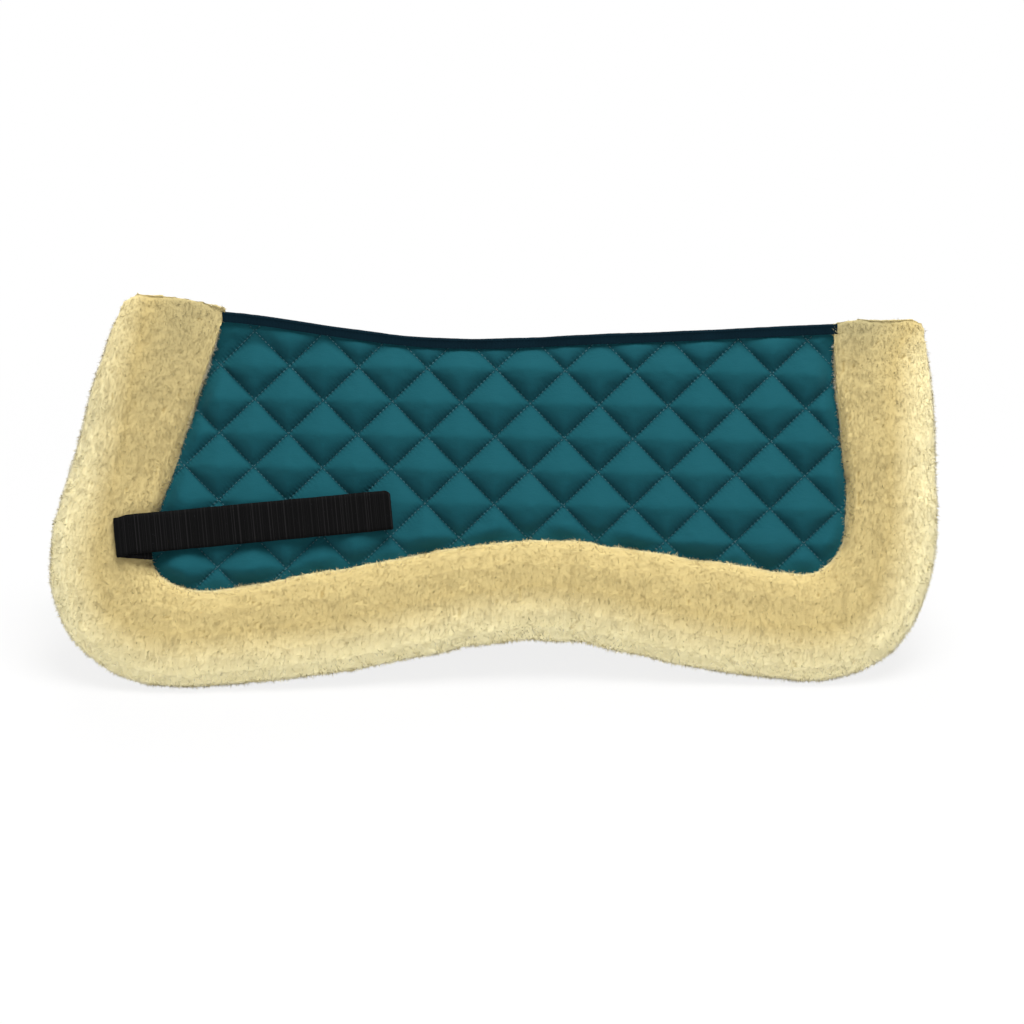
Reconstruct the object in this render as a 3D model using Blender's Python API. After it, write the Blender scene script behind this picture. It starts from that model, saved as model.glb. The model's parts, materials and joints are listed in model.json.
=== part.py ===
"""A contoured half pad, folded at its spine and standing on its lower edges like a tent.

Metres, +Z up. The origin is on the floor under the middle of the pad, +X points to its rear,
and the near side, the one with its face towards -Y, is the side that stays still.

Each side is drawn flat, in panel sizes: x along the spine, drop down the slope from the apex line
where the two panel planes meet, and n outward from the outer face of the foam.
"""

import math

import bmesh
import bpy
import numpy as np
from mathutils import Matrix

# Main sizes
PAD_LENGTH = 0.5630  # outer edge of the fleece, front to rear
PAD_DEPTH = 0.2095  # down the slope from the apex line to the outer edge of the lower lobes

# How the pad stands
LEAN = math.radians(22.0)  # each side leans this far from upright
GAP = 0.0003  # between neighbouring pieces
FOOT_FLAT = 0.0005  # how much of each lower lobe is pressed flat by the floor
AXIS_CLEAR = 0.0010  # fold axis above the tops of the roll where it crosses the spine

# The pattern, drawn at this length and depth and graded to the pad's
PATTERN_LENGTH = 0.5630
PATTERN_DEPTH = 0.2095
# The fleece roll: seam to the quilt (x, drop), then outer edge (x, drop), from the front of the spine
# round the bottom to the rear of the spine. The first and last rows lie past the spine.
ROLL_ROWS = (
    (-0.154, -0.054, -0.223, -0.060),
    (-0.179, 0.010, -0.249, 0.006),
    (-0.200, 0.070, -0.270, 0.077),
    (-0.211, 0.099, -0.280, 0.111),
    (-0.2165, 0.121, -0.281, 0.146),
    (-0.210, 0.138, -0.269, 0.177),
    (-0.192, 0.146, -0.241, 0.200),
    (-0.167, 0.146, -0.201, 0.2095),
    (-0.094, 0.134, -0.104, 0.202),
    (0.023, 0.117, 0.023, 0.181),
    (0.126, 0.130, 0.117, 0.198),
    (0.187, 0.140, 0.192, 0.2095),
    (0.207, 0.137, 0.235, 0.202),
    (0.219, 0.124, 0.266, 0.175),
    (0.223, 0.105, 0.280, 0.132),
    (0.223, 0.082, 0.282, 0.092),
    (0.216, 0.018, 0.279, 0.016),
    (0.214, -0.038, 0.271, -0.044),
)
ROW_STEPS = 3  # stations to each row
ROLL_CROWN = 0.0130  # how proud of the foam the roll stands
ROLL_CROWN_FRONT = 0.0165  # the same where it crosses the spine at the withers
ROLL_CROWN_REAR = 0.0085
# Shares of the band's width in from the edge, with shares of the crown, and the fuller shares at the spine
ROLL_SHAPE = (
    (1.0, 0.28),
    (0.93, 0.72),
    (0.78, 0.95),
    (0.55, 1.0),
    (0.32, 0.93),
    (0.14, 0.68),
    (0.035, 0.22),
)
ROLL_SHAPE_FRONT = (0.74, 0.80, 0.85, 0.91, 0.985, 1.0, 0.86)
ROLL_SHAPE_REAR = (0.86, 0.91, 0.95, 0.98, 1.0, 0.96, 0.80)
ROLL_FULL_REACH = 0.070  # how far down the slope that end shape fades out
# Its inner face, next to the horse: how far in from the edge, with shares of the pad's depth
ROLL_UNDER = ((0.0, 0.2), (0.0022, 0.55), (0.0090, 0.84), (0.0200, 1.0))
ROLL_LEG = 0.035  # how far the roll reaches in under the foam
ROLL_MOUTH = 0.0150  # solid fleece between the outer edge and the foam

# Foam and lining
FOAM_THICK = 0.0080
LINING_THICK = 0.0117
LINING_ROUND = 0.0090  # how far in from its rim the lining reaches full thickness
LINING_RIM = ((0.0, 0.72), (0.35, 0.92), (1.0, 1.0))  # shares of that, with shares of the pad's depth
LINING_AT_SPINE = 0.0032  # thickness left where the channel over the horse's spine is deepest
CHANNEL_DROP = 0.0700  # how far down the slope the channel starts

# Quilted cover
QUILT_PITCH_X = 0.0435  # diamond, point to point along the spine
QUILT_PITCH_DROP = 0.0426
QUILT_TILT = math.radians(1.5)
QUILT_POINT = (-0.0191, 0.0302)  # x and drop of one crossing of the sewn lines
QUILT_CROWN = 0.0086  # thickness in the middle of a diamond
QUILT_FULLNESS = 2.0  # 1 gives each diamond flat facets, and more makes it rounder
QUILT_CHANNEL = 0.0022  # thickness along a sewn line
QUILT_RIM = 0.0016  # thickness where it is sewn to the roll
QUILT_RIM_REACH = 0.0110
QUILT_CUTS = 5  # faces along each side of a diamond

# Spine seam: x on the pattern, and how far the cover stands off the foam's plane there
SPINE_SEAM = (
    (-0.215, 0.0110),
    (-0.157, 0.0094),
    (-0.094, 0.0056),
    (-0.045, 0.0031),
    (0.005, 0.0025),
    (0.063, 0.0033),
    (0.127, 0.0040),
    (0.200, 0.0051),
    (0.260, 0.0057),
)
SPINE_REACH = 0.0160  # how far down the slope the cover rises to its full loft

# Binding on the spine seam
BINDING_HEIGHT = 0.0038  # above the seam
BINDING_LEG = 0.0020  # below the seam on each side
BINDING_HALF = 0.0017
BINDING_TOP_HALF = 0.0006
BINDING_SHOULDER = 0.0014  # how far below its top it has its full width
BINDING_WAIST = 0.0014  # how far above the seam it starts to flare
BINDING_FLARE = 0.0011  # how much wider it is at the foot of its legs
BINDING_WALL = 0.0010
BINDING_STATIONS = 26

# Elastic strap, placed by the middle of its fold
STRAP_FOLD = (-0.2350, 0.1120)  # x and drop on the pattern
STRAP_RISE = math.radians(4.8)  # it climbs this much towards the rear
STRAP_WIDTH = 0.0250
STRAP_THICK = 0.0016
STRAP_LENGTH = 0.1725  # fold to tip
STRAP_HEM = 0.0160
STRAP_HEM_THICK = 0.0030
STRAP_CORNER = 0.0030
STRAP_BASE_START = 0.0026  # from the fold
STRAP_BASE_END = 0.0190  # where it goes down into the seam
STRAP_LEAVES_BASE = 0.0110  # where the long end starts down towards the cover
STRAP_LANDS = 0.0420
STRAP_CLIMBS = 0.0300  # how far before the touch fastener it starts to rise over it
STRAP_LEVEL = 0.0030  # how far before the fastener it is level again
STRAP_PRESS = 0.0068  # height of the cover where the strap holds it down
STRAP_PRESS_MARGIN = 0.0080
STRAP_PRESS_SLOPE = 0.4  # how fast the cover rises again beyond that margin
PATCH_TO_HEM = 0.0005  # from the touch fastener to the hem
PATCH_LENGTH = 0.0380
PATCH_WIDTH = 0.0220
PATCH_THICK = 0.0009

PATCH_START = STRAP_LENGTH - STRAP_HEM - PATCH_TO_HEM - PATCH_LENGTH  # from the fold
DEPTH = FOAM_THICK + LINING_THICK
CUTTER_REACH = PAD_LENGTH  # longer than the pad each way
GRADE = np.array((PAD_LENGTH / PATTERN_LENGTH, PAD_DEPTH / PATTERN_DEPTH))
NEAR, OFF = "near", "off"


def clear_scene():
    for old in list(bpy.data.objects):
        bpy.data.objects.remove(old, do_unlink=True)


def new_collection(name):
    made = bpy.data.collections.new(name)
    bpy.context.scene.collection.children.link(made)
    return made


def new_material(name, colour, roughness):
    made = bpy.data.materials.new(name)
    made.use_nodes = True
    shader = made.node_tree.nodes["Principled BSDF"]
    shader.inputs["Base Color"].default_value = (*colour, 1)
    shader.inputs["Roughness"].default_value = roughness
    shader.inputs["Metallic"].default_value = 0
    made.diffuse_color = (*colour, 1)
    return made


def finish_mesh(bm, name):
    bmesh.ops.recalc_face_normals(bm, faces=bm.faces)
    mesh = bpy.data.meshes.new(name)
    bm.to_mesh(mesh)
    bm.free()
    return mesh


def smooth_rows(rows, steps):
    """Points of a smooth curve through every row, whatever the row holds."""
    rows = np.array(rows)
    padded = np.vstack([2 * rows[0] - rows[1], rows, 2 * rows[-1] - rows[-2]])
    made = []
    for a, b, c, d in zip(padded, padded[1:], padded[2:], padded[3:]):
        for t in np.arange(steps) / steps:
            made.append(b + 0.5 * t * (c - a + t * (2 * a - 5 * b + 4 * c - d + t * (3 * (b - c) + d - a))))
    made.append(rows[-1])
    return np.array(made)


def ease(t):
    t = np.clip(t, 0, 1)
    return t * t * (3 - 2 * t)


STATIONS = smooth_rows(ROLL_ROWS, ROW_STEPS)
SEAM, EDGE = STATIONS[:, :2] * GRADE, STATIONS[:, 2:] * GRADE
BAND = np.linalg.norm(SEAM - EDGE, axis=1)
INWARD = (SEAM - EDGE) / BAND[:, None]
SPINE_X, SPINE_RISE = (smooth_rows(SPINE_SEAM, 6) * (GRADE[0], 1)).T
FOLD_X, FOLD_DROP = STRAP_FOLD * GRADE


def inset(distance):
    """Outline at this distance in from the outer edge, as x and drop."""
    return EDGE + INWARD * np.reshape(distance, (-1, 1))


def panel_matrix(side, apex):
    """From the panel's x, -drop and n to the world."""
    if side == NEAR:
        return Matrix.Translation((0, 0, apex)) @ Matrix.Rotation(math.pi / 2 - LEAN, 4, "X")
    flip = Matrix.Diagonal((1, 1, -1, 1))
    return Matrix.Translation((0, 0, apex)) @ Matrix.Rotation(math.pi / 2 + LEAN, 4, "X") @ flip


def prism(name, outline, low, high):
    """A flat outline of x and drop, standing from n = low to n = high."""
    bm = bmesh.new()
    face = bm.faces.new([bm.verts.new((x, -drop, low)) for x, drop in outline])
    lifted = bmesh.ops.extrude_face_region(bm, geom=[face])
    top = [v for v in lifted["geom"] if isinstance(v, bmesh.types.BMVert)]
    bmesh.ops.translate(bm, verts=top, vec=(0, 0, high - low))
    return finish_mesh(bm, name)


def loft(name, rings):
    """Closed rings joined in turn, with a face over the first and the last."""
    bm = bmesh.new()
    rows = [[bm.verts.new(point) for point in ring] for ring in rings]
    for low, high in zip(rows, rows[1:]):
        for i in range(len(low)):
            j = (i + 1) % len(low)
            bm.faces.new((low[i], low[j], high[j], high[i]))
    bm.faces.new(rows[0])
    bm.faces.new(rows[-1])
    return finish_mesh(bm, name)


def box_mesh(name, low, high, matrix):
    bm = bmesh.new()
    bmesh.ops.create_cube(bm, size=1)
    size = Matrix.Diagonal([b - a for a, b in zip(low, high)]).to_4x4()
    middle = Matrix.Translation([(a + b) / 2 for a, b in zip(low, high)])
    bmesh.ops.transform(bm, verts=bm.verts, matrix=matrix @ middle @ size)
    return finish_mesh(bm, name)


def shaped(name, mesh, tools):
    """The mesh after each (operation, tool mesh) in turn, all in panel sizes."""
    piece = bpy.data.objects.new(name, mesh)
    PARTS.objects.link(piece)
    helpers = []
    for operation, tool in tools:
        helper = bpy.data.objects.new(tool.name, tool)
        CUTTERS.objects.link(helper)
        helper.hide_render = True
        helper.display_type = "WIRE"
        helpers.append(helper)
        cut = piece.modifiers.new(tool.name, "BOOLEAN")
        cut.operation = operation
        cut.solver = "EXACT"
        cut.object = helper
    graph = bpy.context.evaluated_depsgraph_get()
    result = bpy.data.meshes.new_from_object(piece.evaluated_get(graph))
    for used in [piece, *helpers]:
        bpy.data.objects.remove(used, do_unlink=True)
    result.name = name
    return result


def roll_section(x, drop, band):
    """The roll's section at one station, as (distance in from the edge, n), from its inner wall round."""
    end = ease(1 - drop / ROLL_FULL_REACH)
    crossing = ROLL_CROWN_FRONT if x < 0 else ROLL_CROWN_REAR
    crown = ROLL_CROWN + (crossing - ROLL_CROWN) * end
    section = [(band, GAP)]
    for (share, height), full in zip(ROLL_SHAPE, ROLL_SHAPE_FRONT if x < 0 else ROLL_SHAPE_REAR):
        section.append((share * band, crown * (height + (full - height) * end)))
    section += [(distance, -share * DEPTH) for distance, share in ROLL_UNDER]
    section += [(ROLL_LEG, -DEPTH), (ROLL_LEG, -FOAM_THICK - GAP)]
    section += [(ROLL_MOUTH - GAP, -FOAM_THICK - GAP), (ROLL_MOUTH - GAP, GAP)]
    return section


def roll_rings():
    rings = []
    for (x, drop), inward, band in zip(EDGE, INWARD, BAND):
        section = roll_section(x, drop, band)
        rings.append([(x + inward[0] * a, -drop - inward[1] * a, n) for a, n in section])
    return rings


def apex_height():
    """Height of the apex line that puts the lowest lobes FOOT_FLAT below the floor."""
    lowest = min(y * math.cos(LEAN) + n * math.sin(LEAN) for ring in roll_rings() for _, y, n in ring)
    return -lowest - FOOT_FLAT


def fold_line(apex):
    """Height of the fold axis over the origin, and its slope, from the roll's tops at the spine."""
    tops = {}
    for line in np.array(roll_rings()).swapaxes(0, 1):
        x, up, n = line.T
        past = up * math.sin(LEAN) - n * math.cos(LEAN)
        height = apex + up * math.cos(LEAN) + n * math.sin(LEAN)
        for i in np.flatnonzero(past[:-1] * past[1:] < 0):
            share = past[i] / (past[i] - past[i + 1])
            found = (height[i] + share * (height[i + 1] - height[i]), x[i] + share * (x[i + 1] - x[i]))
            end = "front" if found[1] < 0 else "rear"
            tops[end] = max(tops.get(end, found), found)
    (high, front), (low, rear) = tops["front"], tops["rear"]
    slope = (low - high) / (rear - front)
    return high - slope * front + AXIS_CLEAR, slope


def distance_to(points, outline):
    """Distance of each point from a closed outline."""
    best = np.full(len(points), np.inf)
    for a, b in zip(outline, np.roll(outline, -1, axis=0)):
        along = b - a
        t = np.clip((points - a) @ along / (along @ along), 0, 1)
        best = np.minimum(best, np.linalg.norm(points - a - t[:, None] * along, axis=1))
    return best


def strap_sizes(x, drop):
    """Panel points as lengths along the strap and across it."""
    dx, up = x - FOLD_X, FOLD_DROP - drop
    along = dx * math.cos(STRAP_RISE) + up * math.sin(STRAP_RISE)
    across = up * math.cos(STRAP_RISE) - dx * math.sin(STRAP_RISE)
    return along, across


def quilt_height(x, drop):
    """Outer face of the cover over the foam, at panel points."""
    dx, dd = x - QUILT_POINT[0], drop - QUILT_POINT[1]
    along = (dx * math.cos(QUILT_TILT) + dd * math.sin(QUILT_TILT)) / QUILT_PITCH_X
    down = (dd * math.cos(QUILT_TILT) - dx * math.sin(QUILT_TILT)) / QUILT_PITCH_DROP
    first, second = (along + down) % 1, (along - down) % 1
    to_seam = np.maximum(abs(2 * first - 1), abs(2 * second - 1))  # creased from corner to corner
    height = QUILT_CHANNEL + (QUILT_CROWN - QUILT_CHANNEL) * (1 - to_seam ** QUILT_FULLNESS)
    rim = ease(distance_to(np.c_[x, drop], SEAM) / QUILT_RIM_REACH)
    height = QUILT_RIM + (height - QUILT_RIM) * rim
    s, w = strap_sizes(x, drop)
    half = STRAP_WIDTH / 2 + STRAP_PRESS_MARGIN
    outside = np.hypot(np.maximum(s - STRAP_LENGTH - STRAP_PRESS_MARGIN, 0), np.maximum(abs(w) - half, 0))
    height = np.minimum(height, STRAP_PRESS + STRAP_PRESS_SLOPE * outside)
    rise = np.interp(x, SPINE_X, SPINE_RISE)
    below_seam = drop + rise / math.tan(LEAN)
    height = rise + (height - rise) * ease(below_seam / SPINE_REACH)
    middle = -drop * math.tan(LEAN)  # where the plane between the two sides lies
    return np.maximum(height, middle + QUILT_RIM * np.clip(below_seam / QUILT_RIM_REACH, 0, 1))


def quilt_blank():
    """The quilted sheet before it is cut to its outline, on a grid that follows the sewn lines."""
    bm = bmesh.new()
    far_x = abs(SEAM[:, 0] - QUILT_POINT[0]).max() / QUILT_PITCH_X
    far_drop = abs(SEAM[:, 1] - QUILT_POINT[1]).max() / QUILT_PITCH_DROP
    span = math.ceil(far_x + far_drop) + 1
    count = 2 * span * QUILT_CUTS
    bmesh.ops.create_grid(bm, x_segments=count, y_segments=count, size=span)
    verts = list(bm.verts)
    flat = np.array([v.co[:2] for v in verts])
    along = (flat[:, 0] + flat[:, 1]) / 2 * QUILT_PITCH_X
    down = (flat[:, 0] - flat[:, 1]) / 2 * QUILT_PITCH_DROP
    x = QUILT_POINT[0] + along * math.cos(QUILT_TILT) - down * math.sin(QUILT_TILT)
    drop = QUILT_POINT[1] + along * math.sin(QUILT_TILT) + down * math.cos(QUILT_TILT)
    margin = QUILT_PITCH_X / QUILT_CUTS
    wanted = (x > SEAM[:, 0].min() - margin) & (x < SEAM[:, 0].max() + margin)
    wanted &= drop < SEAM[:, 1].max() + margin
    wanted &= drop > -max(SPINE_RISE) / math.tan(LEAN) - 2 * margin
    height = quilt_height(x, drop)
    for v, px, pd, n in zip(verts, x, drop, height):
        v.co = (px, -pd, n)
    bmesh.ops.delete(bm, geom=[v for v, keep in zip(verts, wanted) if not keep], context="VERTS")
    bmesh.ops.delete(bm, geom=[e for e in bm.edges if not e.link_faces], context="EDGES")
    bmesh.ops.delete(bm, geom=[v for v in bm.verts if not v.link_faces], context="VERTS")
    for face in list(bm.faces):  # along the crease, which runs level from corner to corner
        a, b, c, d = face.verts
        level = (a, c) if abs(a.co.y - c.co.y) < abs(b.co.y - d.co.y) else (b, d)
        bmesh.utils.face_split(face, *level)
    rim = [e for e in bm.edges if e.is_boundary]
    skirt = bmesh.ops.extrude_edge_only(bm, edges=rim)["geom"]
    for v in skirt:
        if isinstance(v, bmesh.types.BMVert):
            v.co.z = GAP
    rim = [e for e in skirt if isinstance(e, bmesh.types.BMEdge) and e.is_boundary]
    bmesh.ops.edgeloop_fill(bm, edges=rim)
    return finish_mesh(bm, "quilt_blank")


def binding_end(rows):
    """Where the binding stops against the roll, from the seam points nearest the spine at that end."""
    rise = np.interp(rows[0, 0], SPINE_X, SPINE_RISE)
    top = rise / math.tan(LEAN) + BINDING_HEIGHT
    return np.interp(-top, rows[:, 1], rows[:, 0])


def binding_mesh(apex, grow):
    """The tape folded over the spine seam, in world metres, made bigger all round by grow."""
    rings = []
    spread = BINDING_HALF + BINDING_FLARE + grow
    by_spine = 2 * ROW_STEPS
    front = binding_end(SEAM[:by_spine]) + GAP - grow
    rear = binding_end(SEAM[:-by_spine:-1]) - GAP + grow
    for x in np.linspace(front, rear, BINDING_STATIONS):
        seam = apex + np.interp(x, SPINE_X, SPINE_RISE) / math.sin(LEAN)
        top, foot = seam + BINDING_HEIGHT + grow, seam - BINDING_LEG - grow
        right = [(BINDING_TOP_HALF + grow, top), (BINDING_HALF + grow, top - BINDING_SHOULDER)]
        right += [(BINDING_HALF + grow, seam + BINDING_WAIST), (spread, foot)]
        left = [(-y, z) for y, z in reversed(right)]
        if grow:
            ring = right + left
        else:
            notch = [(spread - BINDING_WALL, foot), (0, seam + GAP), (BINDING_WALL - spread, foot)]
            ring = right + notch + left
        rings.append([(x, y, z) for y, z in ring])
    return loft("spine_binding", rings)


def channel_mesh(apex):
    """Cutter for the channel over the horse's spine, in world metres: a long wedge with its point up."""
    top = apex - (FOAM_THICK + LINING_AT_SPINE) / math.sin(LEAN)
    half = CHANNEL_DROP * math.sin(LEAN) - DEPTH * math.cos(LEAN)
    foot = apex - CHANNEL_DROP * math.cos(LEAN) - DEPTH * math.sin(LEAN)
    past = 1.2  # the wedge runs on into the open arch
    spread, low = past * half, top + past * (foot - top)
    section = [(-spread, low), (spread, low), (0, top)]
    ends = [[(x, y, z) for y, z in section] for x in (-CUTTER_REACH, CUTTER_REACH)]
    return loft("spine_channel", ends)


def strip(profile, half_width):
    """A closed side profile of (along, n), spread to both sides across the strap."""
    bm = bmesh.new()
    face = bm.faces.new([bm.verts.new((s, -half_width, n)) for s, n in profile])
    spread = bmesh.ops.extrude_face_region(bm, geom=[face])
    moved = [v for v in spread["geom"] if isinstance(v, bmesh.types.BMVert)]
    bmesh.ops.translate(bm, verts=moved, vec=(0, 2 * half_width, 0))
    return bm


def roll_samples():
    """Points all over the roll's outer face, as x, drop and n."""
    faces = np.array([[(x, -y, n) for x, y, n in ring[:9]] for ring in roll_rings()])
    t = np.linspace(0, 1, 9)[:, None, None]
    between = [a * (1 - t) + b * t for a, b in zip(faces, faces[1:])]
    rows = np.concatenate(between)
    t = t[:, 0]
    lines = rows.swapaxes(0, 1)[:, :, None]
    across = [a * (1 - t) + b * t for a, b in zip(lines, lines[1:])]
    return np.concatenate(across).reshape(-1, 3)


def roll_under_strap(samples, s):
    """Highest point of the roll under the strap, this far along it from the fold."""
    along, across = strap_sizes(samples[:, 0], samples[:, 1])
    under = (abs(along - s) < STRAP_THICK) & (abs(across) < STRAP_WIDTH / 2 + STRAP_THICK)
    return samples[under, 2].max()


def strap_route():
    """Height of the fold's middle, and the underside of the short end from there, as (along, n)."""
    samples = roll_samples()
    on_fold = max(roll_under_strap(samples, s) for s in (-STRAP_THICK, 0, STRAP_BASE_START))
    fold = on_fold + 2 * GAP + STRAP_THICK + GAP / 2
    stops = np.linspace(STRAP_BASE_START, STRAP_BASE_END, 6)
    heights = np.minimum.accumulate([roll_under_strap(samples, s) for s in stops])
    return fold, [(s, n + 2 * GAP - fold) for s, n in zip(stops, heights)]


def strap_tail_mesh():
    """The long end, in strap lengths from the fold: nose round the fold, then down on to the cover."""
    radius = STRAP_THICK + GAP / 2
    patch_under = HOOK_UNDER + PATCH_THICK + GAP - FOLD_HEIGHT
    lowest = STRAP_PRESS + 2 * GAP - FOLD_HEIGHT
    leave = np.interp(STRAP_LEAVES_BASE, *np.transpose(BASE_UNDER)) + STRAP_THICK + GAP
    under = [(STRAP_BASE_START, GAP / 2)]
    for t in np.linspace(0, 1, 6):
        s = STRAP_LEAVES_BASE + t * (STRAP_LANDS - STRAP_LEAVES_BASE)
        under.append((s, leave + (lowest - leave) * ease(t)))
    under += [(PATCH_START - STRAP_CLIMBS, lowest), (PATCH_START - STRAP_LEVEL, patch_under)]
    under += [(STRAP_LENGTH - STRAP_HEM, patch_under)]
    top = [(s, n + STRAP_THICK) for s, n in reversed(under)]
    hem_under = patch_under + STRAP_THICK - STRAP_HEM_THICK
    under += [(STRAP_LENGTH - STRAP_HEM, hem_under), (STRAP_LENGTH, hem_under)]
    top.insert(0, (STRAP_LENGTH, patch_under + STRAP_THICK))
    nose = [(-radius * math.sin(t), radius * math.cos(t)) for t in np.linspace(0, math.pi, 9)]
    behind = STRAP_BASE_START / 6
    profile = nose + [(behind, -radius), (behind, GAP / 2)] + under + top
    bm = strip(profile, STRAP_WIDTH / 2)
    tip = [e for e in bm.edges if all(v.co.x > STRAP_LENGTH - 1e-6 for v in e.verts)]
    tip = [e for e in tip if abs(e.verts[0].co.y - e.verts[1].co.y) < 1e-6]
    bmesh.ops.bevel(bm, geom=tip, offset=STRAP_CORNER, segments=3, affect="EDGES", profile=0.5)
    return finish_mesh(bm, "strap_tail")


def strap_base_mesh():
    """The short end, from the fold down into the seam between roll and cover."""
    top = [(s, n + STRAP_THICK) for s, n in reversed(BASE_UNDER)]
    return finish_mesh(strip(BASE_UNDER + top, STRAP_WIDTH / 2), "strap_base")


def patch_mesh(name, under):
    """One half of the touch fastener, its underside at this n."""
    low = under - FOLD_HEIGHT
    end = PATCH_START + PATCH_LENGTH
    profile = [(PATCH_START, low), (end, low), (end, low + PATCH_THICK), (PATCH_START, low + PATCH_THICK)]
    return finish_mesh(strip(profile, PATCH_WIDTH / 2), name)


def side_meshes(apex):
    """The meshes of one side, in panel sizes. Both sides share them."""
    to_panel = panel_matrix(NEAR, apex).inverted()
    far = CUTTER_REACH
    past_middle = box_mesh("past_middle", (-far, -GAP / 2, -far), (far, far, far), to_panel)
    under_floor = box_mesh("under_floor", (-far, -far, -far), (far, far, 0), to_panel)
    notch = binding_mesh(apex, GAP)
    channel = channel_mesh(apex)
    for cutter in (notch, channel):
        cutter.transform(to_panel)
    window = prism("window", inset(BAND + GAP), -LINING_THICK, FOAM_THICK + far)
    middle = ("DIFFERENCE", past_middle)
    cover_space = shaped("cover_space", window, [middle, ("DIFFERENCE", notch)])
    roll = loft("roll_blank", roll_rings())
    foam = prism("foam_blank", inset(ROLL_MOUTH), -FOAM_THICK, 0)
    lining_rings = []
    for into, share in ((0, (FOAM_THICK + GAP) / DEPTH), *LINING_RIM):
        outline = inset(ROLL_LEG + GAP + into * LINING_ROUND)
        lining_rings.append([(x, -drop, -share * DEPTH) for x, drop in outline])
    lining = loft("lining_blank", lining_rings)
    under = [middle, ("DIFFERENCE", channel)]
    return {
        "quilted_shell": shaped("quilted_shell", quilt_blank(), [("INTERSECT", cover_space)]),
        "edge_roll": shaped("edge_roll", roll, [*under, ("DIFFERENCE", under_floor)]),
        "foam_core": shaped("foam_core", foam, [middle]),
        "fleece_lining": shaped("fleece_lining", lining, under),
    }


def add_empty(name, matrix, parent=None):
    empty = bpy.data.objects.new(name, None)
    empty.empty_display_size = 0.03
    PARTS.objects.link(empty)
    if parent:
        empty.parent = parent
        bpy.context.view_layer.update()
        empty.matrix_parent_inverse = Matrix()
        matrix = parent.matrix_world.inverted() @ matrix
    empty.matrix_local = matrix
    bpy.context.view_layer.update()
    return empty


def add_piece(name, mesh, parent, colour):
    piece = bpy.data.objects.new(name, mesh)
    PARTS.objects.link(piece)
    piece.parent = parent
    if mesh.materials:
        mesh.materials.clear()
    mesh.materials.append(colour)
    mesh.shade_smooth()
    mesh.set_sharp_from_angle(angle=math.radians(50))
    return piece


clear_scene()
PARTS = new_collection("half_pad")
CUTTERS = new_collection("cutters")

TEAL = new_material("teal_cotton", (0.017, 0.085, 0.108), 0.85)
DARK_TEAL = new_material("dark_teal_tape", (0.004, 0.016, 0.024), 0.8)
CREAM = new_material("cream_fleece", (0.72, 0.63, 0.38), 0.95)
FOAM = new_material("grey_foam", (0.25, 0.25, 0.26), 0.9)
BLACK = new_material("black_elastic", (0.008, 0.008, 0.009), 0.7)
HOOKS = new_material("black_hooks", (0.012, 0.012, 0.012), 0.6)
LOOPS = new_material("black_loops", (0.018, 0.018, 0.018), 0.95)

APEX = apex_height()
AXIS_HEIGHT, AXIS_SLOPE = fold_line(APEX)
FOLD_HEIGHT, BASE_UNDER = strap_route()
LOOP_UNDER = STRAP_PRESS + GAP
HOOK_UNDER = LOOP_UNDER + PATCH_THICK + GAP
SHARED = side_meshes(APEX)
COLOURS = {"quilted_shell": TEAL, "edge_roll": CREAM, "foam_core": FOAM, "fleece_lining": CREAM}
STRAP_MESHES = {
    "strap_base": (strap_base_mesh(), BLACK),
    "strap_loop_patch": (patch_mesh("strap_loop_patch", LOOP_UNDER), LOOPS),
}
TAIL_MESHES = {
    "strap_tail": (strap_tail_mesh(), BLACK),
    "strap_hook_patch": (patch_mesh("strap_hook_patch", HOOK_UNDER), HOOKS),
}

axis_tilt = Matrix.Rotation(-math.atan(AXIS_SLOPE), 4, "Y")
fold_axis = add_empty("spine_fold_axis", Matrix.Translation((0, 0, AXIS_HEIGHT)) @ axis_tilt)
for side in (NEAR, OFF):
    panel = add_empty(f"{side}_panel", panel_matrix(side, APEX), fold_axis if side == OFF else None)
    for name, mesh in SHARED.items():
        add_piece(f"{side}_{name}", mesh, panel, COLOURS[name])
    fold_place = Matrix.Translation((FOLD_X, -FOLD_DROP, FOLD_HEIGHT))
    strap_axis = panel.matrix_world @ fold_place @ Matrix.Rotation(STRAP_RISE, 4, "Z")
    strap_fold = add_empty(f"{side}_strap_fold_axis", strap_axis, panel)
    for name, (mesh, colour) in {**STRAP_MESHES, **TAIL_MESHES}.items():
        add_piece(f"{side}_{name}", mesh, strap_fold, colour)

add_piece("spine_binding", binding_mesh(APEX, 0), None, DARK_TEAL)

print("apex height", round(APEX, 5), "fold axis height", round(AXIS_HEIGHT, 5))
print("fold axis along", [round(c, 6) for c in fold_axis.matrix_world.col[0][:3]])
for side in (NEAR, OFF):
    placed = bpy.data.objects[f"{side}_strap_fold_axis"].matrix_world
    print(side, "strap fold", [round(c, 5) for c in placed.translation])
    print(side, "strap across", [round(c, 5) for c in placed.col[1][:3]])
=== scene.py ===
import json
import math
import bmesh
import bpy
import numpy as np
from mathutils import Matrix, Vector, noise


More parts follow.
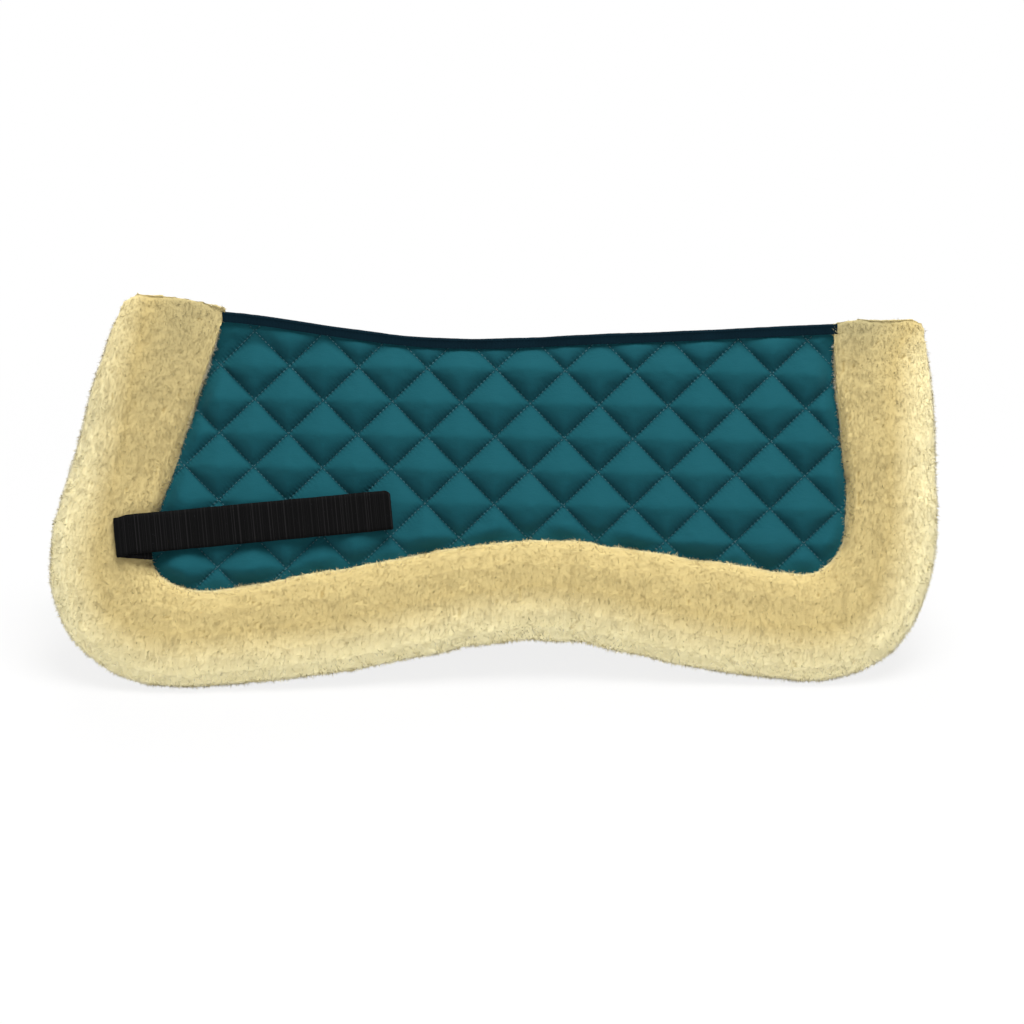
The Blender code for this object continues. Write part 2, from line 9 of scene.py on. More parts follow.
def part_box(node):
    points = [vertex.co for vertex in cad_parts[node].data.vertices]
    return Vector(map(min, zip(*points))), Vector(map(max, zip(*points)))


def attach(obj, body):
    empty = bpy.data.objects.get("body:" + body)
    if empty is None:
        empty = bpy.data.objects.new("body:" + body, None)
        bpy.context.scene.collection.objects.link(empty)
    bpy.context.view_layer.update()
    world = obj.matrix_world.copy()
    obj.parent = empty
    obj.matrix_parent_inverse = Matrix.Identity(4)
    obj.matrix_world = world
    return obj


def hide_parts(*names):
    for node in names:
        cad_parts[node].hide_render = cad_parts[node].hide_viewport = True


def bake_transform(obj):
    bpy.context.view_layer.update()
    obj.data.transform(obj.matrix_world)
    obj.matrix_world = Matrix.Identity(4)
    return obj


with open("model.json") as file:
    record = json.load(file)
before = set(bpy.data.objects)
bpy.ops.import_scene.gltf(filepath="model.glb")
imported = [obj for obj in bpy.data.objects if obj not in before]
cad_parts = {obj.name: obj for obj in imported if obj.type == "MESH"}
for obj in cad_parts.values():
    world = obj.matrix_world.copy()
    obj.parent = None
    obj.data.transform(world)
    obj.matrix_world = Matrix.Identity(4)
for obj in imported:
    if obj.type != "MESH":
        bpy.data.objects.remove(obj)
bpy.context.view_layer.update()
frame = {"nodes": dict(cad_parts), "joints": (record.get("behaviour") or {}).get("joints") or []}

sides = {"near": -1, "off": 1}
gap = 0.0003

# Half pad on its lower edges, its two sides leaning together.
# Panel sizes: x along the spine, drop down the slope from the line where the panel planes meet, n outward.
pad = {
    "lean": math.radians(22),
    "seam": [  # x and drop of the seam between cover and fleece, front of the spine round to the rear
        (-0.154, -0.054), (-0.179, 0.010), (-0.200, 0.070), (-0.211, 0.099), (-0.2165, 0.121),
        (-0.210, 0.138), (-0.192, 0.146), (-0.167, 0.146), (-0.094, 0.134), (0.023, 0.117),
        (0.126, 0.130), (0.187, 0.140), (0.207, 0.137), (0.219, 0.124), (0.223, 0.105),
        (0.223, 0.082), (0.216, 0.018), (0.214, -0.038)],
    "edge": [  # x and drop of the outer edge, beside each point of the seam
        (-0.223, -0.060), (-0.249, 0.006), (-0.270, 0.077), (-0.280, 0.111), (-0.281, 0.146),
        (-0.269, 0.177), (-0.241, 0.200), (-0.201, 0.2095), (-0.104, 0.202), (0.023, 0.181),
        (0.117, 0.198), (0.192, 0.2095), (0.235, 0.202), (0.266, 0.175), (0.280, 0.132),
        (0.282, 0.092), (0.279, 0.016), (0.271, -0.044)],
    "spine": [  # x, and how far the cover stands off the panel plane at the spine seam
        (-0.215, 0.0110), (-0.157, 0.0094), (-0.094, 0.0056), (-0.045, 0.0031), (0.005, 0.0025),
        (0.063, 0.0033), (0.127, 0.0040), (0.200, 0.0051), (0.260, 0.0057)],
}
lean = pad["lean"]
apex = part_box("near_foam_core")[1].z + gap / 2 / math.tan(lean)


def smoothCurve(rows, steps):
    rows = np.array(rows, float)
    padded = np.vstack([2 * rows[0] - rows[1], rows, 2 * rows[-1] - rows[-2]])
    made = []
    for a, b, c, d in zip(padded, padded[1:], padded[2:], padded[3:]):
        for t in np.arange(steps) / steps:
            made.append(b + 0.5 * t * (c - a + t * (2 * a - 5 * b + 4 * c - d + t * (3 * (b - c) + d - a))))
    return np.array(made + [rows[-1]])


seam, edge = smoothCurve(pad["seam"], 8), smoothCurve(pad["edge"], 8)
spineX, spineRise = smoothCurve(pad["spine"], 6).T


def ease(t):
    t = np.clip(t, 0, 1)
    return t * t * (3 - 2 * t)


def toWorld(side, x, drop, n):  # panel sizes to the row frame
    y = -drop * math.sin(lean) - n * math.cos(lean)
    z = apex - drop * math.cos(lean) + n * math.sin(lean)
    return np.stack(np.broadcast_arrays(x, -sides[side] * y, z), -1)


def panelSizes(points):  # row frame points of the near side, back to x, drop and n
    x, y, z = np.asarray(points, float).T
    up = y * math.sin(lean) + (z - apex) * math.cos(lean)
    n = (z - apex) * math.sin(lean) - y * math.cos(lean)
    return x, -up, n


# Materials. A Value is one output socket that can be written into sums.
class Value:
    def __init__(self, nodes, socket):
        self.nodes, self.socket = nodes, socket

    def __add__(self, other):
        return self.nodes.maths("ADD", self, other)

    def __sub__(self, other):
        return self.nodes.maths("SUBTRACT", self, other)

    def __rsub__(self, other):
        return self.nodes.maths("SUBTRACT", other, self)

    def __mul__(self, other):
        return self.nodes.maths("MULTIPLY", self, other)

    __radd__, __rmul__ = __add__, __mul__


class Nodes:
    def __init__(self, tree):
        self.tree = tree

    def feed(self, made, sockets):
        for name, value in sockets.items():
            socket = made.inputs[name.replace("_", " ") if isinstance(name, str) else name]
            if isinstance(value, Value):
                self.tree.links.new(value.socket, socket)
            elif isinstance(value, (tuple, list)) and len(value) == 3 and socket.type == "RGBA":
                socket.default_value = (*value, 1)
            else:
                socket.default_value = value

    def node(self, kind, settings=None, sockets=None, out=0):
        made = self.tree.nodes.new(kind)
        for name, value in (settings or {}).items():
            if name == "stops":
                ramp = made.color_ramp
                while len(ramp.elements) < len(value):
                    ramp.elements.new(0.5)
                for element, (place, colour) in zip(ramp.elements, value):
                    element.position = place
                    element.color = (*colour, 1)
            else:
                setattr(made, name, value)
        self.feed(made, sockets or {})
        return Value(self, made.outputs[out])

    def maths(self, operation, *values):
        return self.node("ShaderNodeMath", {"operation": operation}, dict(enumerate(values)))

    def seenRays(self):  # 1 where the camera looks, straight or by way of gloss or glass
        seen = self.node("ShaderNodeLightPath", out="Is Camera Ray")
        rays = seen.socket.node.outputs
        for kind in ("Is Glossy Ray", "Is Transmission Ray"):
            seen = self.maths("MAXIMUM", seen, Value(self, rays[kind]))
        return seen


class Finish(Nodes):
    def __init__(self, name, **sockets):
        self.material = bpy.data.materials.new(name)
        self.material.use_nodes = True
        super().__init__(self.material.node_tree)
        self.shader = self.tree.nodes["Principled BSDF"]
        self.feed(self.shader, sockets)

    def place(self, scale=(1, 1, 1)):  # position in the piece's own frame, in metres
        spot = self.node("ShaderNodeTexCoord", out="Object")
        return self.node("ShaderNodeMapping", {}, {"Vector": spot, "Scale": scale})

    def noise(self, scale, detail=2.0, rough=0.5, at=None):
        sockets = {"Vector": at or self.place(), "Scale": scale, "Detail": detail, "Roughness": rough}
        return self.node("ShaderNodeTexNoise", {}, sockets)

    def attribute(self, name):
        return self.node("ShaderNodeAttribute", {"attribute_name": name}, out="Fac")

    def mix(self, share, first, second, blend="MIX"):
        settings = {"data_type": "RGBA", "blend_type": blend}
        return self.node("ShaderNodeMix", settings, {"Factor": share, 6: first, 7: second}, out=2)

    def ramp(self, value, *stops):
        return self.node("ShaderNodeValToRGB", {"stops": stops}, {"Fac": value})

    def bump(self, height, distance, strength=1.0, under=None):
        sockets = {"Height": height, "Distance": distance, "Strength": strength}
        if under:
            sockets["Normal"] = under
        return self.node("ShaderNodeBump", {}, sockets)

    def finish(self, **sockets):
        self.feed(self.shader, sockets)
        return self.material


# Pieces
def newPiece(name, mesh, material):
    piece = bpy.data.objects.new(name, mesh)
    bpy.context.scene.collection.objects.link(piece)
    mesh.materials.clear()
    mesh.materials.append(material)
    return piece


def meshOf(name, points, faces):
    mesh = bpy.data.meshes.new(name)
    plainPoints = [tuple(map(float, point)) for point in points]
    mesh.from_pydata(plainPoints, [], [tuple(map(int, face)) for face in faces])
    mesh.validate()
    mesh.shade_smooth()
    return mesh


def coords(mesh):
    flat = np.empty(len(mesh.vertices) * 3)
    mesh.vertices.foreach_get("co", flat)
    return flat.reshape(-1, 3)


def setCoords(mesh, points):
    mesh.vertices.foreach_set("co", np.asarray(points, np.float32).ravel())
    mesh.update()


def normals(mesh):
    flat = np.empty(len(mesh.vertices) * 3, np.float32)
    mesh.vertex_normals.foreach_get("vector", flat)
    return flat.reshape(-1, 3).astype(float)


def setAttribute(mesh, name, values):
    made = mesh.attributes.new(name, "FLOAT", "POINT")
    made.data.foreach_set("value", np.asarray(values, np.float32))


def facesOut(mesh):
    bm = bmesh.new()
    bm.from_mesh(mesh)
    bmesh.ops.recalc_face_normals(bm, faces=bm.faces)
    bm.to_mesh(mesh)
    bm.free()


def skin(first, rings, around):  # faces over equal rings of points, with both ends capped
    last = first + (rings - 1) * around
    faces = []
    for start in range(first, last, around):
        for k in range(around):
            beside = (k + 1) % around
            faces.append((start + k, start + beside, start + around + beside, start + around + k))
    return faces + [tuple(range(first, first + around))[::-1], tuple(range(last, last + around))]


def lofted(name, rings):
    points = [point for ring in rings for point in ring]
    mesh = meshOf(name, points, skin(0, len(rings), len(rings[0])))
    facesOut(mesh)
    return mesh


def applied(piece):  # the piece's mesh after its modifiers, which go
    graph = bpy.context.evaluated_depsgraph_get()
    mesh = bpy.data.meshes.new_from_object(piece.evaluated_get(graph))
    piece.modifiers.clear()
    piece.data = mesh
    return mesh


def nearPanel(points):  # panel sizes of points of either side, as if on the near one
    return panelSizes(np.c_[points[:, 0], -abs(points[:, 1]), points[:, 2]])


def outlineDistance(points, outline):  # from each (x, drop) to an open or closed run of points
    best = np.full(len(points), np.inf)
    for a, b in zip(outline[:-1], outline[1:]):
        along = b - a
        t = np.clip((points - a) @ along / (along @ along), 0, 1)
        best = np.minimum(best, np.linalg.norm(points - a - t[:, None] * along, axis=1))
    return best


def inWindow(x, drop):  # even-odd test against the seam, closed past the spine
    inside = np.zeros(len(x), bool)
    for (ax, ad), (bx, bd) in zip(seam, np.roll(seam, -1, axis=0)):
        crosses = (ad > drop) != (bd > drop)
        with np.errstate(divide="ignore", invalid="ignore"):
            inside ^= crosses & (x < (bx - ax) * (drop - ad) / (bd - ad) + ax)
    return inside


print("frame loaded, apex", round(apex, 4))

# Fleece: the rolled edge and the lining are one hide, with a crease where it folds under the spine
fleece = {
    "voxel": 0.0016,
    "creaseHalf": 0.0025,  # over twice the voxel, or the remesh would close it
    "creaseTop": [  # x and height along the spine that the crease reaches
        (-0.300, 0.222), (-0.235, 0.2262), (-0.221, 0.2305), (-0.165, 0.2185), (-0.158, 0.2020),
        (0.210, 0.2020), (0.216, 0.2060), (0.255, 0.2085), (0.300, 0.200)],
    "swell": 0.00035,  # closes the gaps between the solids
    "cuts": (-0.13, 0.12),  # x where it is parted into three lengths
    "hiddenDepth": 0.0012,  # the cover hides faces this close to the panel plane
    "hiddenIn": 0.0045,  # and this far inside the seam
    "hiddenDrop": 0.025,  # and this far below the spine
    "tuftSize": 0.0048, "tuftDepth": 0.0003,
    "astray": 0.0012, "astraySize": 0.004,  # the tufts' wandering
    "lumpSize": 0.022, "lumpDepth": 0.0010,
    "crackSize": 0.013, "crackDepth": 0.0008, "crackStretch": (1.9, 1, 0.45),  # they run up and down
    "stitchIn": 0.0060, "stitchHalf": 0.0009,  # the rear roll's stitches, this far from the seam
    "grainSize": 0.0024, "grainDepth": 0.00025,
    "under": 0.0009,  # the hide lies this far under the tips of its fibres
    "grey": ((-0.06, -0.01, 0.05, 0.14), (0.06, 0.24, 0.40, 0.46)),  # drop, and how pale the painted light and shade make it there: greyer by the spine, paler lower down
    "rim": 0.042, "rimPaler": 0.55,  # how far in from the outer edge painted light turns it pale, and how much
    "rearShade": 0.30,  # painted shade by the spine behind the cover
    "creamLitShaded": ((0.45, 0.385, 0.200), (0.61, 0.490, 0.222), (0.95, 0.87, 0.54)),  # cream from most shaded to most lit, with painted light and shade
}


def welded(node):  # a copy of a solid's mesh with its corners joined
    bm = bmesh.new()
    bm.from_mesh(frame["nodes"][node].data)
    bmesh.ops.remove_doubles(bm, verts=bm.verts, dist=1e-6)
    mesh = bpy.data.meshes.new(node + "_copy")
    bm.to_mesh(mesh)
    bm.free()
    return mesh


def creaseCutter():  # a wall between the two sides, up to the crease's top
    half = fleece["creaseHalf"]
    top = fleece["creaseTop"]
    foot = -0.1  # well under the pad
    outline = [*top, (top[-1][0], foot), (top[0][0], foot)]
    points = [(x, y, z) for y in (-half, half) for x, z in outline]
    count = len(outline)
    faces = [list(range(count))[::-1], list(range(count, 2 * count))]
    faces += [(i, (i + 1) % count, (i + 1) % count + count, i + count) for i in range(count)]
    cutter = bpy.data.objects.new("crease", meshOf("crease", points, faces))
    bpy.context.scene.collection.objects.link(cutter)
    return cutter


def fleeceBlank():  # both sides' rolls, linings and foam grown together into one even mesh
    cutter = creaseCutter()
    bm = bmesh.new()
    for node in ("near_edge_roll", "near_fleece_lining", "near_foam_core"):
        blank = bpy.data.objects.new("blank", welded(node))
        bpy.context.scene.collection.objects.link(blank)
        cut = blank.modifiers.new("crease", "BOOLEAN")
        cut.operation = "DIFFERENCE"
        cut.object = cutter
        mesh = applied(blank)
        setCoords(mesh, coords(mesh) + fleece["swell"] * normals(mesh))
        bm.from_mesh(mesh)
        mesh.transform(Matrix.Diagonal((1, -1, 1, 1)))
        mesh.flip_normals()
        bm.from_mesh(mesh)
        bpy.data.objects.remove(blank)
    bpy.data.objects.remove(cutter)
    mesh = bpy.data.meshes.new("fleece_blank")
    bm.to_mesh(mesh)
    bm.free()
    blank = bpy.data.objects.new("fleece_blank", mesh)
    bpy.context.scene.collection.objects.link(blank)
    remesh = blank.modifiers.new("remesh", "REMESH")
    remesh.mode = "VOXEL"
    remesh.voxel_size = fleece["voxel"]
    smooth = blank.modifiers.new("smooth", "SMOOTH")
    smooth.factor = 0.5
    smooth.iterations = 5
    mesh = applied(blank)
    bpy.data.objects.remove(blank)
    return mesh


def dropHidden(mesh):  # faces that the cover hides
    x, drop, n = nearPanel(coords(mesh))
    hidden = inWindow(x, drop) & (abs(n) < fleece["hiddenDepth"]) & (drop > fleece["hiddenDrop"])
    hidden &= outlineDistance(np.c_[x, drop], seam) > fleece["hiddenIn"]
    bm = bmesh.new()
    bm.from_mesh(mesh)
    bm.verts.ensure_lookup_table()
    bmesh.ops.delete(bm, geom=[bm.verts[i] for i in np.flatnonzero(hidden)], context="VERTS")
    bm.to_mesh(mesh)
    bm.free()


def noiseAt(points, size, shift=0.0):
    return np.array([noise.noise(p) for p in (points / size + shift).tolist()])


def cellsAt(points, size, stretch):  # distances to the two nearest of scattered points
    found = [noise.voronoi(p)[0] for p in (points / size / np.array(stretch)).tolist()]
    return np.array([f[0] for f in found]), np.array([f[1] for f in found])


def paintedLightAt(points, outward):  # painted light and shade on the pile: paler near its outer edge and where it rolls away, greyer by the spine
    x, drop, n = nearPanel(points)
    facing = outward[:, 1] * np.sign(points[:, 1]) * math.cos(lean) + outward[:, 2] * math.sin(lean)
    rim = 1 - ease(outlineDistance(np.c_[x, drop], edge) / fleece["rim"])
    rim = np.maximum(rim, 0.6 * ease((0.8 - facing) / 0.8))
    rearTop = fleece["rearShade"] * ease((x - 0.19) / 0.03) * ease((0.01 - drop) / 0.04)
    return np.clip(np.interp(drop, *fleece["grey"]) + fleece["rimPaler"] * rim - rearTop, 0, 1)


def inCrease(points):  # on the walls of the crease
    top = np.interp(points[:, 0], *np.array(fleece["creaseTop"]).T)
    return (abs(points[:, 1]) < fleece["creaseHalf"] + 0.001) & (points[:, 2] < top + 0.001)


def parted(points):  # 1 in the clefts where locks of pile part, and along the stitches beside the rear seam
    cracks = noiseAt(points * fleece["crackStretch"], fleece["crackSize"], 7.7)
    cleft = np.clip(1.1 - abs(cracks) / 0.04, 0, 1)
    cleft *= 0.8 * ease((noiseAt(points, 0.009, 21.0) - 0.10) / 0.2)
    x, drop, n = nearPanel(points)
    beside = outlineDistance(np.c_[x, drop], seam)
    stitch = np.clip(1.2 - abs(beside - fleece["stitchIn"]) / fleece["stitchHalf"], 0, 1)
    stitch *= (x > 0.2) & (drop < 0.11) & (n > 0.004) & ~inWindow(x, drop)
    stitch *= 0.8 * ease((noiseAt(points, 0.006, 40.0) - 0.02) / 0.1)
    return np.maximum(cleft, stitch)


def rufflePile(mesh):  # tufts, lumps, clefts and grain; returns the smooth normals and the clefts
    points, outward = coords(mesh), normals(mesh)
    astray = points + fleece["astray"] * noiseAt(points, fleece["astraySize"])[:, None]
    nearest, second = cellsAt(astray, fleece["tuftSize"], (1, 1, 1.5))
    tuft = np.clip(1 - nearest ** 2 * 1.6, 0, 1) * ease((second - nearest) / 0.3)
    lump = noiseAt(points, fleece["lumpSize"], 3.1)
    crack = parted(points)
    grain = noiseAt(points, fleece["grainSize"], 1.3)
    depth = fleece["tuftDepth"] * (tuft - 0.75) + fleece["lumpDepth"] * lump
    depth += fleece["grainDepth"] * grain - fleece["crackDepth"] * crack - fleece["under"]
    # pile is low in the hollows, clefts and stitch slits, which the colour darkens as painted shade
    setAttribute(mesh, "pile", np.clip(0.6 + (depth + fleece["under"]) / 0.004 - 0.6 * crack, 0, 1))
    # painted light and shade, kept for the colour
    setAttribute(mesh, "bleach", paintedLightAt(points, outward))
    moved = points + outward * depth[:, None]
    moved[:, 2] = np.maximum(moved[:, 2], 0.0002)
    setCoords(mesh, moved)
    return outward, crack


fleeceMesh = fleeceBlank()
print("fleece remeshed", len(fleeceMesh.polygons))
dropHidden(fleeceMesh)
fleeceOutward, fleeceClefts = rufflePile(fleeceMesh)
fleeceMesh.shade_smooth()
print("fleece ruffled", len(fleeceMesh.polygons))

wool = Finish("cream_fleece", Roughness=0.9, Sheen_Weight=0.3, Sheen_Roughness=0.4, Specular_IOR_Level=0.05)
# the cream with painted light and shade: greyer by the spine, paler at the edges and rolls
creamLitShaded = wool.ramp(wool.attribute("bleach"), *zip((0.0, 0.5, 1.0), fleece["creamLitShaded"]))
# painted shade: darker cream in the hollows, clefts and stitch slits
hollowShade = wool.ramp(wool.attribute("pile"), (0.0, (0.70, 0.65, 0.55)), (0.45, (1, 1, 1)))
shade = wool.mix(1.0, creamLitShaded, hollowShade, "MULTIPLY")
tint = wool.mix(wool.noise(38, 3) * 0.4, shade, wool.mix(1.0, shade, (1.04, 1.0, 0.90), "MULTIPLY"))
fine = wool.bump(wool.noise(900, 3, 0.6), 0.0003, 0.5)
wool.finish(Base_Color=tint, Normal=fine)


def splitByX(mesh, cuts):  # the mesh in lengths along the spine
    centres = np.empty(len(mesh.polygons) * 3, np.float32)
    mesh.polygons.foreach_get("center", centres)
    centres = centres.reshape(-1, 3)
    made = []
    for low, high in zip([-1, *cuts], [*cuts, 1]):
        bm = bmesh.new()
        bm.from_mesh(mesh)
        bm.faces.ensure_lookup_table()
        gone = np.flatnonzero((centres[:, 0] <= low) | (centres[:, 0] > high))
        bmesh.ops.delete(bm, geom=[bm.faces[i] for i in gone], context="FACES")
        part = bpy.data.meshes.new("part")
        bm.to_mesh(part)
        bm.free()
        part.shade_smooth()
        made.append(part)
    return made


def bendAtSpine(piece):
    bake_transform(piece)


for place, part in zip(("front", "middle", "rear"), splitByX(fleeceMesh, fleece["cuts"])):
    piece = newPiece("fleece_" + place, part, wool.material)
    bendAtSpine(piece)
    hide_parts("near_edge_roll", "off_edge_roll", "near_fleece_lining", "off_fleece_lining")

# Pile: short wool fibres over the fleece, in locks that lie together
pileSizes = {
    "count": 64000, "liningCount": 44000,
    "long": 0.0024, "wide": 0.00032, "root": 0.0004,  # the root goes this deep
    "lock": 0.0060, "lean": 0.45,  # how far apart the locks lie, and how far they lean
    "sag": 0.3, "stray": 0.18,
    "proud": 0.06, "prouder": 1.6,  # this share of the fibres is so much longer
    "liningStart": -0.0145,  # n from which fibres belong to the lining
    "coverIn": 0.0015, "coverLow": -0.003,  # the cover hides them this far inside the seam, above this n
    "rollGap": 0.0005, "liningGap": 0.0035,  # how near they come to the middle
}


def grow(mesh, outward, clefts, side, count, seed, wanted):  # tapered fibres where they are wanted
    mesh.calc_loop_triangles()
    corners = np.empty(len(mesh.loop_triangles) * 3, np.int32)
    mesh.loop_triangles.foreach_get("vertices", corners)
    corners = corners.reshape(-1, 3)
    points = coords(mesh)
    middle = points[corners].mean(1)
    corners = corners[(middle[:, 1] * sides[side] > 0) & wanted(middle)]
    a, b, c = (points[corners[:, k]] for k in range(3))
    area = np.linalg.norm(np.cross(b - a, c - a), axis=1) * (1.02 - clefts[corners].max(1))
    rng = np.random.default_rng(seed)
    picked = corners[rng.choice(len(corners), count, p=area / area.sum())]
    share = rng.dirichlet((1, 1, 1), count)
    root = (points[picked] * share[:, :, None]).sum(1)
    up = (outward[picked] * share[:, :, None]).sum(1)
    up /= np.linalg.norm(up, axis=1)[:, None]
    lock = np.array([noise.noise_vector(p) for p in (root / pileSizes["lock"]).tolist()])
    stray = rng.normal(0, pileSizes["stray"], (count, 3))
    sag = np.array([0, 0, -pileSizes["sag"]])
    early = up + pileSizes["lean"] * lock + stray
    late = 0.35 * up + 1.5 * pileSizes["lean"] * lock + 1.6 * stray + sag
    early /= np.linalg.norm(early, axis=1)[:, None]
    late /= np.linalg.norm(late, axis=1)[:, None]
    proud = rng.random((count, 1)) < pileSizes["proud"]
    long = pileSizes["long"] * np.where(proud, pileSizes["prouder"], rng.uniform(0.6, 1.15, (count, 1)))
    across = np.cross(early, up)  # flat to the surface, front side out
    across += 0.35 * np.linalg.norm(across, axis=1)[:, None] * np.cross(early, rng.normal(size=(count, 3)))
    across *= pileSizes["wide"] / 2 / np.linalg.norm(across, axis=1)[:, None]
    root -= pileSizes["root"] * up
    bend = root + 0.5 * long * early
    tip = bend + 0.5 * long * late
    verts = np.stack([root - across, root + across, bend - 0.8 * across, bend + 0.8 * across, tip], 1)
    verts[:, :, 2] = np.maximum(verts[:, :, 2], 0.0002)
    start = np.arange(count)[:, None] * 5
    loops = (start + np.array([0, 1, 3, 2, 2, 3, 4])).ravel()
    made = bpy.data.meshes.new("pile")
    made.vertices.add(count * 5)
    made.vertices.foreach_set("co", verts.astype(np.float32).ravel())
    made.loops.add(count * 7)
    made.loops.foreach_set("vertex_index", loops.astype(np.int32))
    made.polygons.add(count * 2)
    firstLoops = np.arange(count)[:, None] * 7 + np.array([0, 4])  # a four-sided face and a tip
    made.polygons.foreach_set("loop_start", firstLoops.ravel().astype(np.int32))
    made.update(calc_edges=True)
    made.shade_smooth()
    shown = 0.9 * np.repeat(up, 5, axis=0) + 0.1 * np.repeat(early, 5, axis=0)
    made.normals_split_custom_set_from_vertices(shown / np.linalg.norm(shown, axis=1)[:, None])
    setAttribute(made, "tip", np.tile((0, 0, 0.55, 0.55, 1.0), count))
    # the same painted light and shade as the hide beneath
    setAttribute(made, "bleach", np.repeat(paintedLightAt(root, up), 5))
    setAttribute(made, "lot", np.repeat(rng.random(count), 5))
    return made


def onRoll(middle):  # the fleece that shows outside: not under the cover or in the crease
    x, drop, n = nearPanel(middle)
    covered = inWindow(x, drop) & (n > pileSizes["coverLow"])
    covered &= outlineDistance(np.c_[x, drop], seam) > pileSizes["coverIn"]
    outside = (n > pileSizes["liningStart"]) & (abs(middle[:, 1]) > pileSizes["rollGap"])
    return outside & ~covered & ~inCrease(middle)


def onLining(middle):  # the fleece inside, with the walls of the crease
    inside = nearPanel(middle)[2] <= pileSizes["liningStart"]
    return inside & (abs(middle[:, 1]) > pileSizes["liningGap"]) | inCrease(middle)


fibre = Finish("cream_pile", Roughness=0.9, Sheen_Weight=0.5, Sheen_Roughness=0.4, Specular_IOR_Level=0.05)
# the cream with painted light and shade, as on the hide
hue = fibre.ramp(fibre.attribute("bleach"), *zip((0.0, 0.5, 1.0), fleece["creamLitShaded"]))
# each fibre a random tone, and painted shade darkens it towards its root
darkerFibre = fibre.mix(1.0, hue, (0.96, 0.95, 0.93), "MULTIPLY")
palerFibre = fibre.mix(1.0, hue, (1.02, 1.02, 1.04), "MULTIPLY")
fibre.finish(Base_Color=fibre.mix(fibre.attribute("lot") * 0.6 + fibre.attribute("tip") * 0.4, darkerFibre, palerFibre))
seeds = {"near": 11, "off": 12}
noise.seed_set(13)  # noise_vector would differ from run to run without it
growths = (
    ("front_roll", "count", lambda middle: (middle[:, 0] < 0) & onRoll(middle)),
    ("rear_roll", "count", lambda middle: (middle[:, 0] >= 0) & onRoll(middle)),
    ("lining", "liningCount", onLining),
)
for side in sides:
    for name, count, wanted in growths:
        amount = pileSizes[count] // 1
        made = grow(fleeceMesh, fleeceOutward, fleeceClefts, side, amount, seeds[side], wanted)
        pile = newPiece(f"{side}_{name}_pile", made, fibre.material)
        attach(pile, side + "_side")
print("pile grown")

# Quilted cover: cotton over wadding, sewn in diamonds, its upper edge in the spine seam
quilt = {
    "pitchX": 0.0435, "pitchDrop": 0.0426,  # between a diamond's corners
    "tilt": math.radians(1.5), "point": (-0.0191, 0.0302),
    "reach": 9, "top": -0.04,  # diamonds each way from that point, and the least drop
    "cuts": 12,  # faces along each side of a diamond
    "channel": 0.0020, "crown": 0.0103,  # heights of the sewn lines and of the middle of a diamond
    "peak": 1.35, "belowFlat": 0.66, "belowSteep": 5.0,  # how round it is across, and how it sags
    "rim": 0.0016, "rimReach": 0.011, "spineReach": 0.016,
    "tuck": 0.006, "overSpine": 0.007,  # how far it goes on under the fleece and past the spine seam
    "sewnIn": 0.0008, "sewnBelow": 0.0025,  # held down this near the seam and the spine
    "spare": 0.012, "pressure": 10.0, "frames": 16,  # spare width in the cloth, and what puffs it up
    "tallest": 0.0116,
    "hold": 0.0072, "softly": 0.0008,  # its height under the strap, and how softly it is held down
    "pressed": 0.32, "pressedReach": 0.022,  # the share its pillows lose there, and how far beside it
}
strap = {
    "foldX": -0.2350, "foldDrop": 0.1120, "rise": math.radians(4.8),
    "width": 0.0250, "length": 0.1725, "thick": 0.0016,
    "hem": 0.0160, "hemThick": 0.0030,
}


def alongStrap(x, drop):  # panel sizes to lengths along and across the strap
    dx, up = x - strap["foldX"], strap["foldDrop"] - drop
    c, s = math.cos(strap["rise"]), math.sin(strap["rise"])
    return dx * c + up * s, up * c - dx * s


def latticeOf(x, drop):  # counted in diamonds along both families of sewn lines
    dx, dd = x - quilt["point"][0], drop - quilt["point"][1]
    c, s = math.cos(quilt["tilt"]), math.sin(quilt["tilt"])
    along, down = (dx * c + dd * s) / quilt["pitchX"], (dd * c - dx * s) / quilt["pitchDrop"]
    return along + down, along - down


def fromLattice(along, down):  # diamonds along and down from the lattice's point, to x and drop
    along, down = along * quilt["pitchX"], down * quilt["pitchDrop"]
    c, s = math.cos(quilt["tilt"]), math.sin(quilt["tilt"])
    return quilt["point"][0] + along * c - down * s, quilt["point"][1] + along * s + down * c


def quiltBase(x, drop, crown):  # height of the cover, each diamond creased from corner to corner
    first, second = latticeOf(x, drop)
    across, down = first % 1 + second % 1 - 1, first % 1 - second % 1  # from -1 to 1 between its corners
    share = abs(down) / np.maximum(1 - abs(across), 1e-9)  # from the level crease to the sewn line
    below = quilt["belowFlat"] * share + (1 - quilt["belowFlat"]) * share ** quilt["belowSteep"]
    fall = np.where(down > 0, below, share)  # its filling sags towards the lower lines
    full = (1 - abs(across) ** quilt["peak"]) * (1 - np.clip(fall, 0, 1))
    height = quilt["channel"] + (crown - quilt["channel"]) * full
    rim = ease(outlineDistance(np.c_[x, drop], seam) / quilt["rimReach"])
    rim = np.where(inWindow(x, drop), rim, 0)
    height = quilt["rim"] + (height - quilt["rim"]) * rim
    rise = np.interp(x, spineX, spineRise)
    below = drop + rise / math.tan(lean)
    height = rise + (height - rise) * ease(below / quilt["spineReach"])
    return np.maximum(height, -drop * math.tan(lean) + 0.0012 * np.clip(below / 0.008, 0, 1)), below


